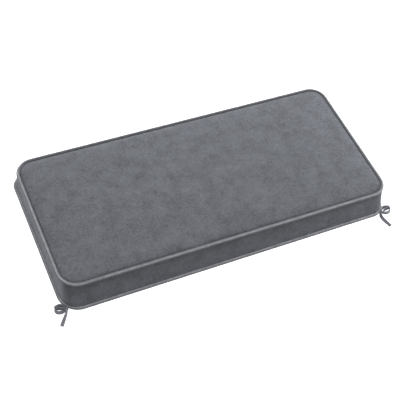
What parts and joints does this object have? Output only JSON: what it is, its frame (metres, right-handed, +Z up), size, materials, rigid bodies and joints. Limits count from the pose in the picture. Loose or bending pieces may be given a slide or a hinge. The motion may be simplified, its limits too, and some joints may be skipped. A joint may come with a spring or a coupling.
{
  "type": "boxed bench cushion with piped seams and corner ties",
  "caption": "Long boxed seat cushion with round corners, crowned top, boxing band, piped upper and lower seams and a small tie at each front corner.",
  "frame": {"origin": "centre of the flat underside, on the surface that the cushion lies on", "axes": "+X along the bench, +Y from the front, where the ties are, to the back, +Z up through the thickness"},
  "size_m": [0.9424, 0.4732, 0.0945],
  "materials": {
    "cover_velvet": "short matt pile, suede-like velvet, slate grey",
    "piping_velvet": "the cover's velvet, drawn tight over a round cord",
    "tie_velvet": "the cover's velvet, folded and stitched into a flat tape"
  },
  "bodies": {
    "root": {"cushion": "cover_velvet", "piping_lower": "piping_velvet", "piping_upper": "piping_velvet", "tie_left_knot": "tie_velvet", "tie_left_tail": "tie_velvet", "tie_left_loop": "tie_velvet", "tie_left_end": "tie_velvet", "tie_right_knot": "tie_velvet", "tie_right_tail": "tie_velvet", "tie_right_loop": "tie_velvet", "tie_right_end": "tie_velvet"}
  },
  "joints": []
}
